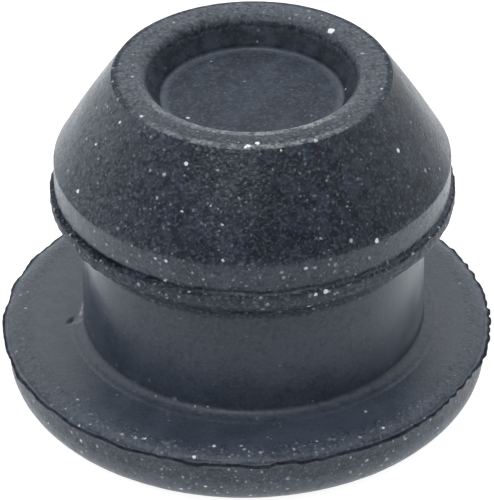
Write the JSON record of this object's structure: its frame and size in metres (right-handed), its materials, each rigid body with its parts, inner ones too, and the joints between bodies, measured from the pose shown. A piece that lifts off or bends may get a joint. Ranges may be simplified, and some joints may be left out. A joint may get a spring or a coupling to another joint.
{
  "type": "brake disc plug",
  "caption": "Moulded rubber plug with a round flange, a grooved neck and a barbed conical head with a shallow recess, closing the adjusting hole in a brake disc.",
  "frame": {"origin": "centre of the flange's outer face, on the plug's axis", "axes": "+Z along the plug's axis, from the flange's outer face towards the head that goes into the hole"},
  "size_m": [0.0218, 0.0218, 0.0154],
  "materials": {
    "rubber": "matt moulded black rubber with pale dust in its grain"
  },
  "bodies": {
    "root": {"plug": "rubber"}
  },
  "joints": []
}
